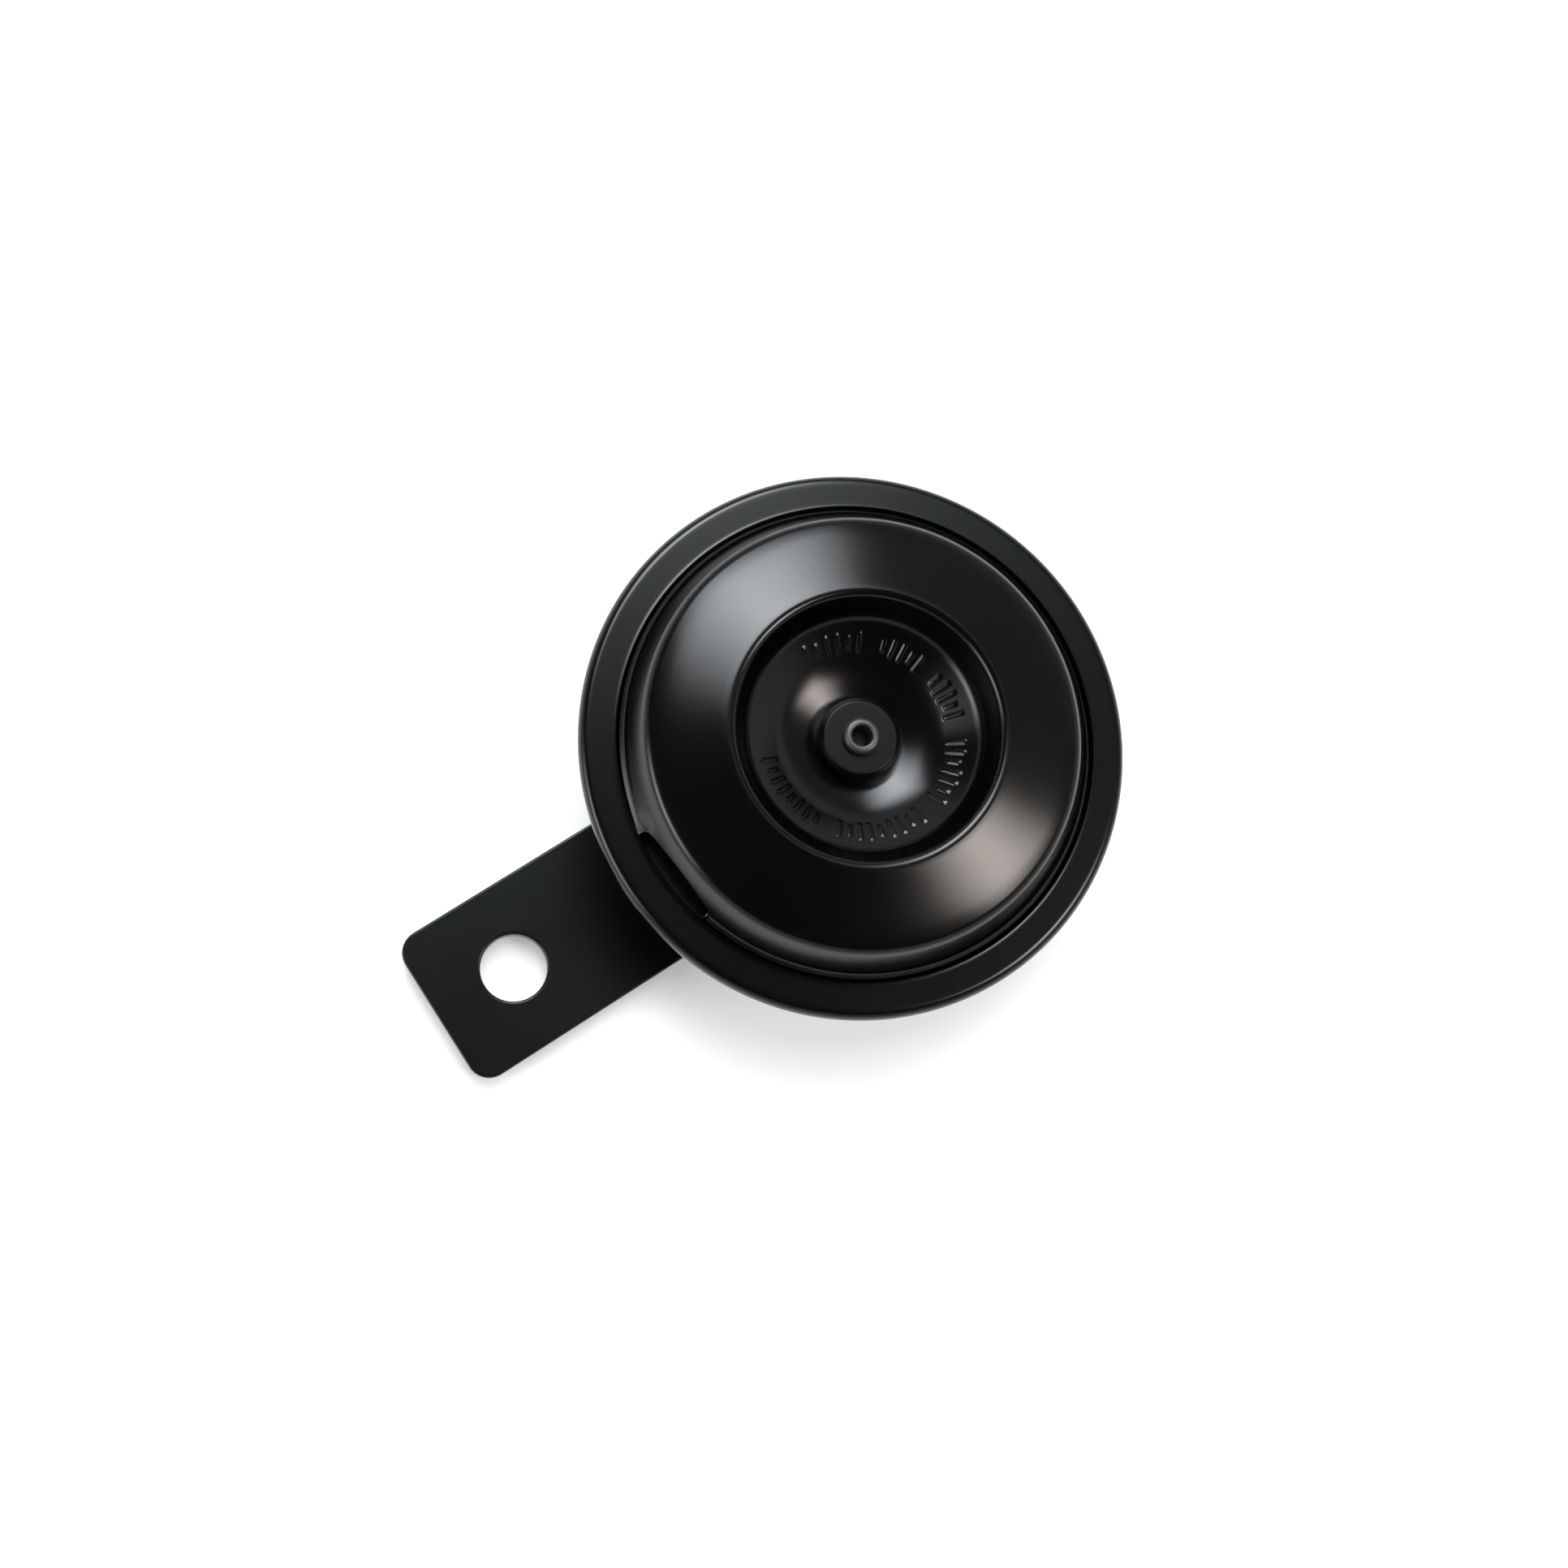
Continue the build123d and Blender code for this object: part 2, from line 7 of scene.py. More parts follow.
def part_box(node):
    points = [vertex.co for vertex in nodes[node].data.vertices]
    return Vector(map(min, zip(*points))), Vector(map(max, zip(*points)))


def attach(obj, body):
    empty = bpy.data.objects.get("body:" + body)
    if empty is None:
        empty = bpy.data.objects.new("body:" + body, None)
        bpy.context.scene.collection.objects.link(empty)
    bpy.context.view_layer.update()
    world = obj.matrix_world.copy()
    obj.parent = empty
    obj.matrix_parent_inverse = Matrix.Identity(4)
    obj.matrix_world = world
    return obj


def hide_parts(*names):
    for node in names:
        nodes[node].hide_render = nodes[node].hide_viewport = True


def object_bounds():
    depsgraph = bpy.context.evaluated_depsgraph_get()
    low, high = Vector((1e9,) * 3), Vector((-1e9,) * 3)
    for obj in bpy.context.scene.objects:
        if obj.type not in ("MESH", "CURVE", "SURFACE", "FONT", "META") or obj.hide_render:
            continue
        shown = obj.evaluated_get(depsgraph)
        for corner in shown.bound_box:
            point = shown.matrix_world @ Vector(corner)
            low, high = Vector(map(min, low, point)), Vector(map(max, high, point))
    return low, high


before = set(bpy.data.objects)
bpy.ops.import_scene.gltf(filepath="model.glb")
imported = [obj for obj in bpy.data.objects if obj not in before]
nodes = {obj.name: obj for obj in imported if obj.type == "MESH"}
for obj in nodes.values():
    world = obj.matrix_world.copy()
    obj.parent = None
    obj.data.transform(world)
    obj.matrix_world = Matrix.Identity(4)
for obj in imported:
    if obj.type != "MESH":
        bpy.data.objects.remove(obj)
cad_low, cad_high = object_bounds()
scene = bpy.context.scene
mm = 0.001

# Camera. It looks down on the face of the horn, close enough that the view has strong
# perspective, and it is rolled so that the strap points to the lower left of the picture.
camera_data = bpy.data.cameras.new("camera")
camera_data.lens = 42.86
camera_data.sensor_width = 36.0
camera_data.clip_start = 0.01
camera = bpy.data.objects.new("camera", camera_data)
scene.collection.objects.link(camera)
camera_right = Vector((0.8254, -0.5423, 0.1567)).normalized()
camera_back = Vector((-0.2279, -0.0661, 0.9714)).normalized()
camera_up = camera_back.cross(camera_right).normalized()
camera_right = camera_up.cross(camera_back)
camera_place = Vector((-14.0, -15.1, 248.3)) * mm
turned = Matrix((camera_right, camera_up, camera_back)).transposed()
camera.matrix_world = Matrix.Translation(camera_place) @ turned.to_4x4()
scene.camera = camera


# Rear cup. Steel sheet drawn in two steps and painted like the rest of the horn. The shallow
# outer cup holds the contact breaker, and the deeper one behind it holds the coil. Its flange
# is clamped in the rolled rim. Sizes are in mm, and heights count from the middle of that rim.
roll_h = 1.45
ring_low, ring_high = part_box("crimp_ring")
rim_r = (ring_high.x - ring_low.x) / 2 / mm
horn_middle = np.array([(ring_low.x + ring_high.x) / 2, 0, ring_low.z + roll_h * mm])


def rounded_path(points, bends, step):
    """Points along straight runs joined by arcs.

    Each inner corner is cut back along both runs by bend * tan(turn / 2), and the arc between
    the two cuts is swept about its centre, which lies one bend radius off the run. Runs are
    divided at about the given step and arcs at a quarter of it.
    """
    points = np.array(points, float)
    runs = points[1:] - points[:-1]
    ways = runs / np.linalg.norm(runs, axis=1)[:, None]
    start = points[0]
    path = [start[None]]
    for i, bend in enumerate(bends):
        a, b = ways[i], ways[i + 1]
        turn = np.arctan2(a[0] * b[1] - a[1] * b[0], a @ b)
        cut = bend * np.tan(abs(turn) / 2)
        into, out = points[i + 1] - a * cut, points[i + 1] + b * cut
        count = max(2, int(np.ceil(np.linalg.norm(into - start) / step)))
        path.append(start + (into - start) * np.linspace(0, 1, count + 1)[1:, None])
        centre = into + np.array([-a[1], a[0]]) * np.sign(turn) * bend
        angles = np.linspace(0, turn, max(4, int(np.ceil(bend * abs(turn) / step * 4))) + 1)[1:, None]
        arm = into - centre
        path.append(centre + arm * np.cos(angles) + np.array([-arm[1], arm[0]]) * np.sin(angles))
        start = out
    count = max(2, int(np.ceil(np.linalg.norm(points[-1] - start) / step)))
    path.append(start + (points[-1] - start) * np.linspace(0, 1, count + 1)[1:, None])
    return np.concatenate(path)


def beside(path, distance):
    """The same path moved sideways by a distance: each point goes that far along the left-hand
    normal, which is the average direction of its two runs turned a quarter circle."""
    way = np.gradient(path, axis=0)
    way /= np.linalg.norm(way, axis=1)[:, None]
    return path + distance * np.stack([-way[:, 1], way[:, 0]], axis=1)


def sheet_loop(path, thickness, rounding):
    """Closed outline of a bent sheet: the path, its copy one thickness to the left, and the two
    cut edges between their ends, whose corners are quarter circles of the given rounding."""
    path = path.copy()
    ends = []
    for end, inner in ((0, 1), (-1, -2)):
        out = path[end] - path[inner]
        out /= np.linalg.norm(out)
        path[end] = path[end] - out * rounding
        ends.append(out)
    other = beside(path, thickness)
    quarter = np.linspace(0, np.pi / 2, 5)[:, None]

    def cut_edge(near, far, out):
        across = (far - near) / np.linalg.norm(far - near)
        first = near + across * rounding + rounding * (out * np.sin(quarter) - across * np.cos(quarter))
        second = far - across * rounding + rounding * (out * np.cos(quarter) + across * np.sin(quarter))
        return np.concatenate([first, second])

    last = cut_edge(path[-1], other[-1], ends[1])
    return np.concatenate([path[1:-1], last, other[-2:0:-1], cut_edge(other[0], path[0], ends[0])])


def surface_object(name, grids, sharp=35.0):
    """Object from grids of points, each with two marks that say whether its rows and columns
    run round in a ring. Each cell is one four-sided face. Points that meet are merged, which
    closes poles and joins grids at their edges, and faces are turned outwards."""
    points, faces, start = [], [], 0
    for grid, ring_rows, ring_columns in grids:
        number = start + np.arange(grid.shape[0] * grid.shape[1]).reshape(grid.shape[:2])
        start += number.size
        if ring_rows:
            number = np.concatenate([number, number[:1]], axis=0)
        if ring_columns:
            number = np.concatenate([number, number[:, :1]], axis=1)
        cell = np.stack([number[:-1, :-1], number[:-1, 1:], number[1:, 1:], number[1:, :-1]], axis=-1)
        faces.append(cell.reshape(-1, 4))
        points.append(grid.reshape(-1, 3))
    mesh = bpy.data.meshes.new(name)
    mesh.from_pydata(np.concatenate(points).tolist(), [], np.concatenate(faces).tolist())
    work = bmesh.new()
    work.from_mesh(mesh)
    bmesh.ops.remove_doubles(work, verts=work.verts, dist=2e-4 * mm)
    bmesh.ops.recalc_face_normals(work, faces=work.faces)
    work.to_mesh(mesh)
    work.free()
    mesh.polygons.foreach_set("use_smooth", np.ones(len(mesh.polygons), bool))
    mesh.set_sharp_from_angle(angle=np.radians(sharp))
    mesh.update()
    piece = bpy.data.objects.new(name, mesh)
    scene.collection.objects.link(piece)
    return piece


def turned_points(loop, columns, x=0.0, y=0.0):
    """Loop of (radius, height) swept round an upright axis: every point goes to
    (radius * cos, radius * sin, height) at each azimuth. The axis stands at x, y from the
    horn's own, and heights count from the middle of the rim."""
    around = np.linspace(0, 2 * np.pi, columns, endpoint=False)
    r, h = loop[:, :1], loop[:, 1:]
    grid = np.stack([r * np.cos(around) + x, r * np.sin(around) + y, h + 0 * around], axis=-1)
    return grid * mm + horn_middle


def standing_for(piece, node, material):
    """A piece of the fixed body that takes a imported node's place and its finish."""
    piece.data.materials.append(material)
    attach(piece, "root")
    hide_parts(node)


def dress(node, material):
    """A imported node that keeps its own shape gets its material."""
    nodes[node].data.materials.clear()
    nodes[node].data.materials.append(material)


def effect_group(name, inputs):
    """New shader node group with number inputs. It puts out a shade from 0 to 1, a roughness
    and a height, which all change over the surface."""
    tree = bpy.data.node_groups.new(name, "ShaderNodeTree")
    for label, value in inputs:
        socket = tree.interface.new_socket(name=label, in_out="INPUT", socket_type="NodeSocketFloat")
        socket.default_value = value
    for label in ("Shade", "Roughness", "Height"):
        tree.interface.new_socket(name=label, in_out="OUTPUT", socket_type="NodeSocketFloat")
    return tree, tree.nodes.new("NodeGroupInput"), tree.nodes.new("NodeGroupOutput")


def math_node(tree, kind, *values):
    """Math node whose inputs are numbers or the outputs of other nodes."""
    node = tree.nodes.new("ShaderNodeMath")
    node.operation = kind
    for socket, value in zip(node.inputs, values):
        if isinstance(value, (int, float)):
            socket.default_value = value
        else:
            tree.links.new(value, socket)
    return node.outputs[0]


def noise_node(tree, vector, scale, detail):
    """Noise over a vector, at a fixed scale or one from another node."""
    node = tree.nodes.new("ShaderNodeTexNoise")
    node.inputs["Detail"].default_value = detail
    tree.links.new(vector, node.inputs["Vector"])
    if isinstance(scale, (int, float)):
        node.inputs["Scale"].default_value = scale
    else:
        tree.links.new(scale, node.inputs["Scale"])
    return node.outputs["Fac"]


def varied_roughness(tree, inputs, change):
    """Roughness plus its spread times a change that runs about half a unit either way."""
    middle = math_node(tree, "SUBTRACT", change, 0.5)
    spread, base = inputs.outputs["Gloss Spread"], inputs.outputs["Roughness"]
    return math_node(tree, "MULTIPLY_ADD", middle, spread, base)


# Effect: mottle. Fine grain as height, and a slow cloud that changes shade and gloss. Sprayed
# paint, plating, moulded nylon and paper differ in its scale and strength.
mottle, mottle_in, mottle_out = effect_group(
    "mottle", [("Scale", 900.0), ("Cloud Scale", 60.0), ("Roughness", 0.3), ("Gloss Spread", 0.05)],
)
mottle_where = mottle.nodes.new("ShaderNodeTexCoord").outputs["Object"]
mottle_grain = noise_node(mottle, mottle_where, mottle_in.outputs["Scale"], 2.0)
mottle_cloud = noise_node(mottle, mottle_where, mottle_in.outputs["Cloud Scale"], 4.0)
mottle.links.new(mottle_grain, mottle_out.inputs["Height"])
mottle.links.new(mottle_cloud, mottle_out.inputs["Shade"])
mottle.links.new(varied_roughness(mottle, mottle_in, mottle_cloud), mottle_out.inputs["Roughness"])


def finish(name, effect, values, dark, light, relief, metallic=0.0):
    """Material of one finish. The effect's shade runs from the dark colour to the light one,
    its roughness goes to the shader and its height to a bump of the given relief in mm."""
    material = bpy.data.materials.new(name)
    material.use_nodes = True
    tree = material.node_tree
    shader = tree.nodes["Principled BSDF"]
    shader.inputs["Metallic"].default_value = metallic
    pattern = tree.nodes.new("ShaderNodeGroup")
    pattern.node_tree = effect
    for label, value in values.items():
        pattern.inputs[label].default_value = value
    colours = tree.nodes.new("ShaderNodeValToRGB")
    colours.color_ramp.elements[0].position = 0.3
    colours.color_ramp.elements[0].color = (*dark, 1.0)
    colours.color_ramp.elements[1].position = 0.7
    colours.color_ramp.elements[1].color = (*light, 1.0)
    bump = tree.nodes.new("ShaderNodeBump")
    bump.inputs["Strength"].default_value = 1.0
    bump.inputs["Distance"].default_value = relief * mm
    tree.links.new(pattern.outputs["Shade"], colours.inputs["Fac"])
    tree.links.new(colours.outputs["Color"], shader.inputs["Base Color"])
    tree.links.new(pattern.outputs["Roughness"], shader.inputs["Roughness"])
    tree.links.new(pattern.outputs["Height"], bump.inputs["Height"])
    tree.links.new(bump.outputs["Normal"], shader.inputs["Normal"])
    return material


cup_t = 0.9
flange_r, flange_h = 33.6, 0.05
step_h, cup_floor_h = -7.6, -15.6
stud_hole_r = 4.15
cup_line = [
    (flange_r, flange_h),
    (29.4, flange_h),
    (29.3, step_h),
    (15.2, step_h),
    (14.6, cup_floor_h),
    (stud_hole_r, cup_floor_h),
]
cup_loop = sheet_loop(rounded_path(cup_line, [1.5, 1.2, 1.6, 1.6], 0.6), cup_t, 0.12)
rear_cup = surface_object("rear_cup", [(turned_points(cup_loop, 360), True, True)])
paint_peel = {"Scale": 650.0, "Cloud Scale": 45.0, "Roughness": 0.21, "Gloss Spread": 0.04}
ring_paint = finish(
    "ring_paint", mottle, paint_peel, (0.0006, 0.0009, 0.001), (0.0011, 0.0015, 0.0016), 0.0006,
)
standing_for(rear_cup, "rear_housing", ring_paint)


# Core and coil. The core is turned from mild steel, and its end runs back through cup and strap
# as the threaded stud. On it sits a moulded nylon bobbin wound with enamelled copper wire, and
# a steel yoke ring lies over both.
core_r, core_top = 6.0, -7.9
stud_r, stud_end, stud_chamfer = 4.0, -23.5, 0.7
thread_pitch, thread_depth = 1.25, 0.6
plain_length, thread_fade = 3.6, 0.8


def stud_radius(h, around):
    """Radius of the threaded stud. The thread is a ridge that climbs one pitch per turn: a wave
    of height / pitch less azimuth, held between crest and root. It fades out towards the plain
    length next to the cup, and the stud's end is chamfered at 45 degrees."""
    wave = 0.5 + 0.75 * np.cos(2 * np.pi * h / thread_pitch - around)
    fade = np.clip((cup_floor_h - plain_length - h) / thread_fade, 0, 1)
    chamfer = np.clip(stud_chamfer - (h - stud_end), 0, stud_chamfer)
    return stud_r - np.maximum(thread_depth * np.clip(wave, 0, 1) * fade, chamfer)


around = np.linspace(0, 2 * np.pi, 120, endpoint=False)
stud_h = np.linspace(stud_end, cup_floor_h, 110)[:, None]
stud_grid = np.stack([
    stud_radius(stud_h, around) * np.cos(around),
    stud_radius(stud_h, around) * np.sin(around),
    stud_h + 0 * around,
], axis=-1) * mm + horn_middle
stud_face = turned_points(np.array([(0, stud_end), (0.7 * stud_r, stud_end)]), 120)
core_line = [(stud_r, cup_floor_h), (core_r, cup_floor_h), (core_r, core_top), (0, core_top)]
core_loop = rounded_path(core_line, [0.1, 0.4], 1.0)
core = surface_object("core_and_stud", [
    (np.concatenate([stud_face, stud_grid]), False, True),
    (turned_points(core_loop, 120), False, True),
])

# Effect: turning lines. Fine rings round an upright axis: noise over the distance from it.
turning, turning_in, turning_out = effect_group("turning_lines", [
    ("Scale", 3000.0), ("Roughness", 0.35), ("Gloss Spread", 0.15), ("Axis X", 0.0), ("Axis Y", 0.0),
])
turning_where = turning.nodes.new("ShaderNodeSeparateXYZ")
turning.links.new(turning.nodes.new("ShaderNodeTexCoord").outputs["Object"], turning_where.inputs[0])
off_x = math_node(turning, "SUBTRACT", turning_where.outputs[0], turning_in.outputs["Axis X"])
off_y = math_node(turning, "SUBTRACT", turning_where.outputs[1], turning_in.outputs["Axis Y"])
squares = math_node(turning, "MULTIPLY_ADD", off_x, off_x, math_node(turning, "MULTIPLY", off_y, off_y))
rings = turning.nodes.new("ShaderNodeCombineXYZ")
turning.links.new(math_node(turning, "SQRT", squares), rings.inputs[0])
turning.links.new(turning_where.outputs[2], rings.inputs[2])
lines = noise_node(turning, rings.outputs[0], turning_in.outputs["Scale"], 2.0)
turning.links.new(lines, turning_out.inputs["Height"])
turning.links.new(lines, turning_out.inputs["Shade"])
turning.links.new(varied_roughness(turning, turning_in, lines), turning_out.inputs["Roughness"])

# Effect: drawn grain. Streaks along one direction, as in rolled strip, laminated board and
# wound wire: noise over a place that is squeezed by three stretch values.
grain, grain_in, grain_out = effect_group("drawn_grain", [
    ("Scale", 900.0), ("Roughness", 0.4), ("Gloss Spread", 0.15),
    ("Stretch X", 1.0), ("Stretch Y", 1.0), ("Stretch Z", 1.0),
])
grain_place = grain.nodes.new("ShaderNodeSeparateXYZ")
grain.links.new(grain.nodes.new("ShaderNodeTexCoord").outputs["Object"], grain_place.inputs[0])
squeezed = grain.nodes.new("ShaderNodeCombineXYZ")
for i, axis in enumerate("XYZ"):
    along = math_node(grain, "MULTIPLY", grain_place.outputs[i], grain_in.outputs["Stretch " + axis])
    grain.links.new(along, squeezed.inputs[i])
streaks = noise_node(grain, squeezed.outputs[0], grain_in.outputs["Scale"], 3.0)
grain.links.new(streaks, grain_out.inputs["Height"])
grain.links.new(streaks, grain_out.inputs["Shade"])
grain.links.new(varied_roughness(grain, grain_in, streaks), grain_out.inputs["Roughness"])

horn_x = float(horn_middle[0])
on_axis = {"Scale": 3500.0, "Roughness": 0.34, "Gloss Spread": 0.2, "Axis X": horn_x}
turned_steel = finish("turned_steel", turning, on_axis, (0.36, 0.36, 0.35), (0.5, 0.5, 0.49), 0.004, 0.95)
standing_for(core, "pole_core", turned_steel)
nylon = finish("black_nylon", mottle, {"Scale": 1500.0, "Cloud Scale": 120.0, "Roughness": 0.55},
               (0.012, 0.012, 0.012), (0.02, 0.02, 0.02), 0.004)
dress("coil_bobbin", nylon)
wound = {"Scale": 2400.0, "Roughness": 0.3, "Gloss Spread": 0.1, "Stretch X": 0.02, "Stretch Y": 0.02}
copper = finish("enamelled_wire", grain, wound, (0.32, 0.1, 0.035), (0.62, 0.26, 0.1), 0.05, 0.8)
dress("coil_winding", copper)
dress("yoke_plate", turned_steel)
dress("spacer_washer", turned_steel)


# Contact breaker. Brass strip and brass leaf between laminated board, with ground tungsten
# buttons, held by two plated steel rivets that show their rounded heads on the horn's back. A
# slotted screw with a small locknut bends the strip and sets the sound.
rolled = {"Scale": 1200.0, "Roughness": 0.3, "Gloss Spread": 0.15, "Stretch Y": 0.05}
brass = finish("rolled_brass", grain, rolled, (0.56, 0.36, 0.13), (0.72, 0.52, 0.24), 0.003, 1.0)
dress("fixed_contact_strip", brass)
dress("moving_contact_leaf", brass)
ground = {"Scale": 5000.0, "Roughness": 0.28, "Gloss Spread": 0.1, "Stretch X": 0.1}
tungsten = finish("tungsten", grain, ground, (0.3, 0.3, 0.31), (0.42, 0.42, 0.43), 0.002, 1.0)
dress("contact_points", tungsten)
pressed = {"Scale": 900.0, "Roughness": 0.5, "Gloss Spread": 0.2, "Stretch X": 0.15, "Stretch Z": 6.0}
board = finish("laminated_board", grain, pressed, (0.1, 0.048, 0.02), (0.19, 0.1, 0.045), 0.01)
dress("contact_insulators", board)
plate_mottle = {"Scale": 3000.0, "Cloud Scale": 260.0, "Roughness": 0.3, "Gloss Spread": 0.25}
zinc = finish("zinc_plate", mottle, plate_mottle, (0.42, 0.43, 0.44), (0.62, 0.63, 0.64), 0.003, 1.0)


def rivet_grid(x, y, low, high, shank_r, head_r):
    """Rivet as one turned surface: a rounded head below, the shank, and a flat tail above."""
    head_t, rounding = 0.8, 0.45
    line = [
        (0, low - head_t),
        (head_r, low - head_t),
        (head_r, low),
        (shank_r, low),
        (shank_r, high),
        (head_r, high),
        (head_r, high + head_t),
        (0, high + head_t),
    ]
    loop = rounded_path(line, [rounding, 0.08, 0.05, 0.05, 0.08, 0.15], 0.4)
    return turned_points(loop, 72, x, y), False, True


stack_y, stack_pitch = 25.0, 5.6
cup_back_h, stack_top = step_h - cup_t, -3.05
breaker_rivets = surface_object("breaker_rivets", [
    rivet_grid(side * stack_pitch / 2, stack_y, cup_back_h, stack_top, 1.0, 1.8)
    for side in (-1, 1)
])
standing_for(breaker_rivets, "contact_rivets", zinc)
dress("adjusting_screw", zinc)


def nut_grids(across, corner_cut, bore_r, low, high, x, y, columns):
    """Hexagon nut round an upright axis.

    The radius of its sides is half the width across them, divided by the power mean of the six
    sides' nearness. The power is high, so the edges between them are just rounded. Turning cuts
    the corners at both faces by a cone that falls 30 degrees, which gives the curved edge of a
    real nut: the cone meets each side where the side's radius passes the face circle's. The
    bore is countersunk at both ends.
    """
    power, cone_fall = 90, np.radians(30)
    around = np.linspace(0, 2 * np.pi, columns, endpoint=False)
    nearness = np.array([np.maximum(np.cos(around - k * np.pi / 3), 0) for k in range(6)])
    side_r = across / 2 / (nearness ** power).sum(0) ** (1 / power)
    face_r = across / 2 - corner_cut * 0.25
    cone = np.linspace(0, 1, 6)[:, None]
    cone_r = face_r + (side_r - face_r) * cone
    drop = (cone_r - face_r) * np.tan(cone_fall)
    sink = 0.6 * corner_cut
    flat = 0 * around
    sink_r = bore_r + sink
    face_rows = [bore_r + flat, sink_r + flat, (face_r + sink_r) / 2 + flat]
    radius = np.concatenate([face_rows, cone_r, cone_r[::-1], face_rows[::-1]])
    height = np.concatenate([
        [flat + high - sink, flat + high, flat + high],
        high - drop,
        low + drop[::-1],
        [flat + low, flat + low, flat + low + sink],
    ])
    grid = np.stack([radius * np.cos(around) + x, radius * np.sin(around) + y, height], axis=-1)
    return [(grid * mm + horn_middle, True, True)]


screw_y, locknut_low = 20.2, -10.9
locknut_grids = nut_grids(5.5, 0.35, 1.55, locknut_low, cup_back_h, 0.0, screw_y, 180)
locknut = surface_object("locknut", locknut_grids, 25.0)
standing_for(locknut, "adjusting_nut", zinc)


# Terminals. Two tin-plated brass blades on an outer board plate, bent away from the cup, each
# clamped by a plated rivet through both plates. Sleeved leads join them to coil and leaf.
terminal_x, terminal_pitch = 23.0, 11.0
plates_low, plates_high = -10.8, -6.4
terminal_rivets = surface_object("terminal_rivets", [
    rivet_grid(terminal_x, side * terminal_pitch / 2, plates_low, plates_high, 1.5, 2.4)
    for side in (-1, 1)
])
standing_for(terminal_rivets, "terminal_rivets", zinc)
dress("terminal_plate", board)
dress("terminal_inner_plate", board)
dipped = {"Scale": 1800.0, "Cloud Scale": 320.0, "Roughness": 0.24, "Gloss Spread": 0.22}
tin = finish("tin_plate", mottle, dipped, (0.56, 0.54, 0.5), (0.72, 0.7, 0.66), 0.004, 1.0)
dress("terminal_blades", tin)
woven = {"Scale": 4200.0, "Cloud Scale": 200.0, "Roughness": 0.45, "Gloss Spread": 0.1}
sleeve = finish("varnished_sleeve", mottle, woven, (0.12, 0.012, 0.008), (0.2, 0.02, 0.012), 0.03)
dress("coil_leads", sleeve)


# Diaphragm and gaskets. Thin blued spring steel between two oiled paper rings, all clamped in the rolled
# rim. Only a bit of it shows, through the sounding disc's notch.
# Its colour is almost black and dull: partly the steel's own bluing, partly painted shade for the hollow
# under the notch.
dull = {"Scale": 900.0, "Cloud Scale": 90.0, "Roughness": 0.9, "Gloss Spread": 0.05}
# Almost black colour: partly the bluing, partly painted shade for the hollow seen through the notch.
blued_steel_painted_shade = finish("blued_spring_painted_shade", mottle, dull, (0.001, 0.001, 0.0012), (0.002, 0.002, 0.0023), 0.002)
dress("diaphragm", blued_steel_painted_shade)
fibres = {"Scale": 2600.0, "Cloud Scale": 500.0, "Roughness": 0.8, "Gloss Spread": 0.1}
paper = finish("oiled_paper", mottle, fibres, (0.2, 0.14, 0.075), (0.32, 0.25, 0.15), 0.02)
dress("front_gasket", paper)
dress("rear_gasket", paper)


# Crimp ring. The outer ring of the horn's face is deep-drawn steel sheet, rolled tightly round
# the edges of diaphragm and rear cup. Its inner edge on the front is lifted a little, lies a
# little off the horn's axis and ends in a cut edge beside the sounding disc.
ring_t, ring_cut_rounding = 0.6, 0.09
ring_face_w, ring_back_w = 4.76, 3.6
ring_in_r = rim_r - ring_face_w
edge_w, edge_rise = 0.4, 0.17
edge_shift, shift_begins, shift_run = 0.1, 2.9, 1.4
roll_bend, edge_bend = 1.3, 1.8
ring_line = [
    (rim_r - ring_back_w, -roll_h),
    (rim_r, -roll_h),
    (rim_r, roll_h),
    (ring_in_r + edge_w, roll_h),
    (ring_in_r, roll_h + edge_rise),
]
ring_path = rounded_path(ring_line, [roll_bend, roll_bend, edge_bend], 0.4)
ring_points = turned_points(sheet_loop(ring_path, ring_t, ring_cut_rounding), 640)
from_axis = np.hypot(ring_points[..., 0] - horn_x, ring_points[..., 1])
near_edge = np.clip((rim_r - shift_begins - from_axis / mm) / shift_run, 0, 1)
ring_points[..., 1] -= edge_shift * mm * near_edge * (ring_points[..., 2] > horn_middle[2])
crimp_ring = surface_object("rolled_rim", [(ring_points, True, True)])
standing_for(crimp_ring, "crimp_ring", ring_paint)


# Plunger. Turned soft iron with a collar and a hollow stem. The stem's end stands up through
# the washer, its edge rounded and its mouth spread a little by the riveting tool.
plunger_r, plunger_low, plunger_top = 6.2, -7.3, -1.4
collar_r, collar_low, collar_top = 9.3, -3.3, -2.4
stem_r, stem_top = 2.3, 4.3
bore_r, bore_depth = 1.3, 4.0
bore_h = stem_top - bore_depth
stem_line = [
    (0, plunger_low),
    (plunger_r, plunger_low),
    (plunger_r, collar_low),
    (collar_r, collar_low),
    (collar_r, collar_top),
    (plunger_r, collar_top),
    (plunger_r, plunger_top),
    (stem_r, plunger_top),
    (stem_r, stem_top),
    (bore_r, stem_top),
    (bore_r, bore_h),
    (0, bore_h),
]
stem_loop = rounded_path(stem_line, [0.3, 0.1, 0.2, 0.2, 0.1, 0.2, 0.1, 0.6, 0.3, 0.5], 0.3)
plunger = surface_object("plunger", [(turned_points(stem_loop, 144), False, True)])
stem_lines = {"Scale": 2600.0, "Roughness": 0.42, "Gloss Spread": 0.15, "Axis X": horn_x}
plunger_steel = finish(
    "plunger_steel", turning, stem_lines, (0.09, 0.085, 0.08), (0.15, 0.145, 0.14), 0.006, 0.8,
)
standing_for(plunger, "armature", plunger_steel)


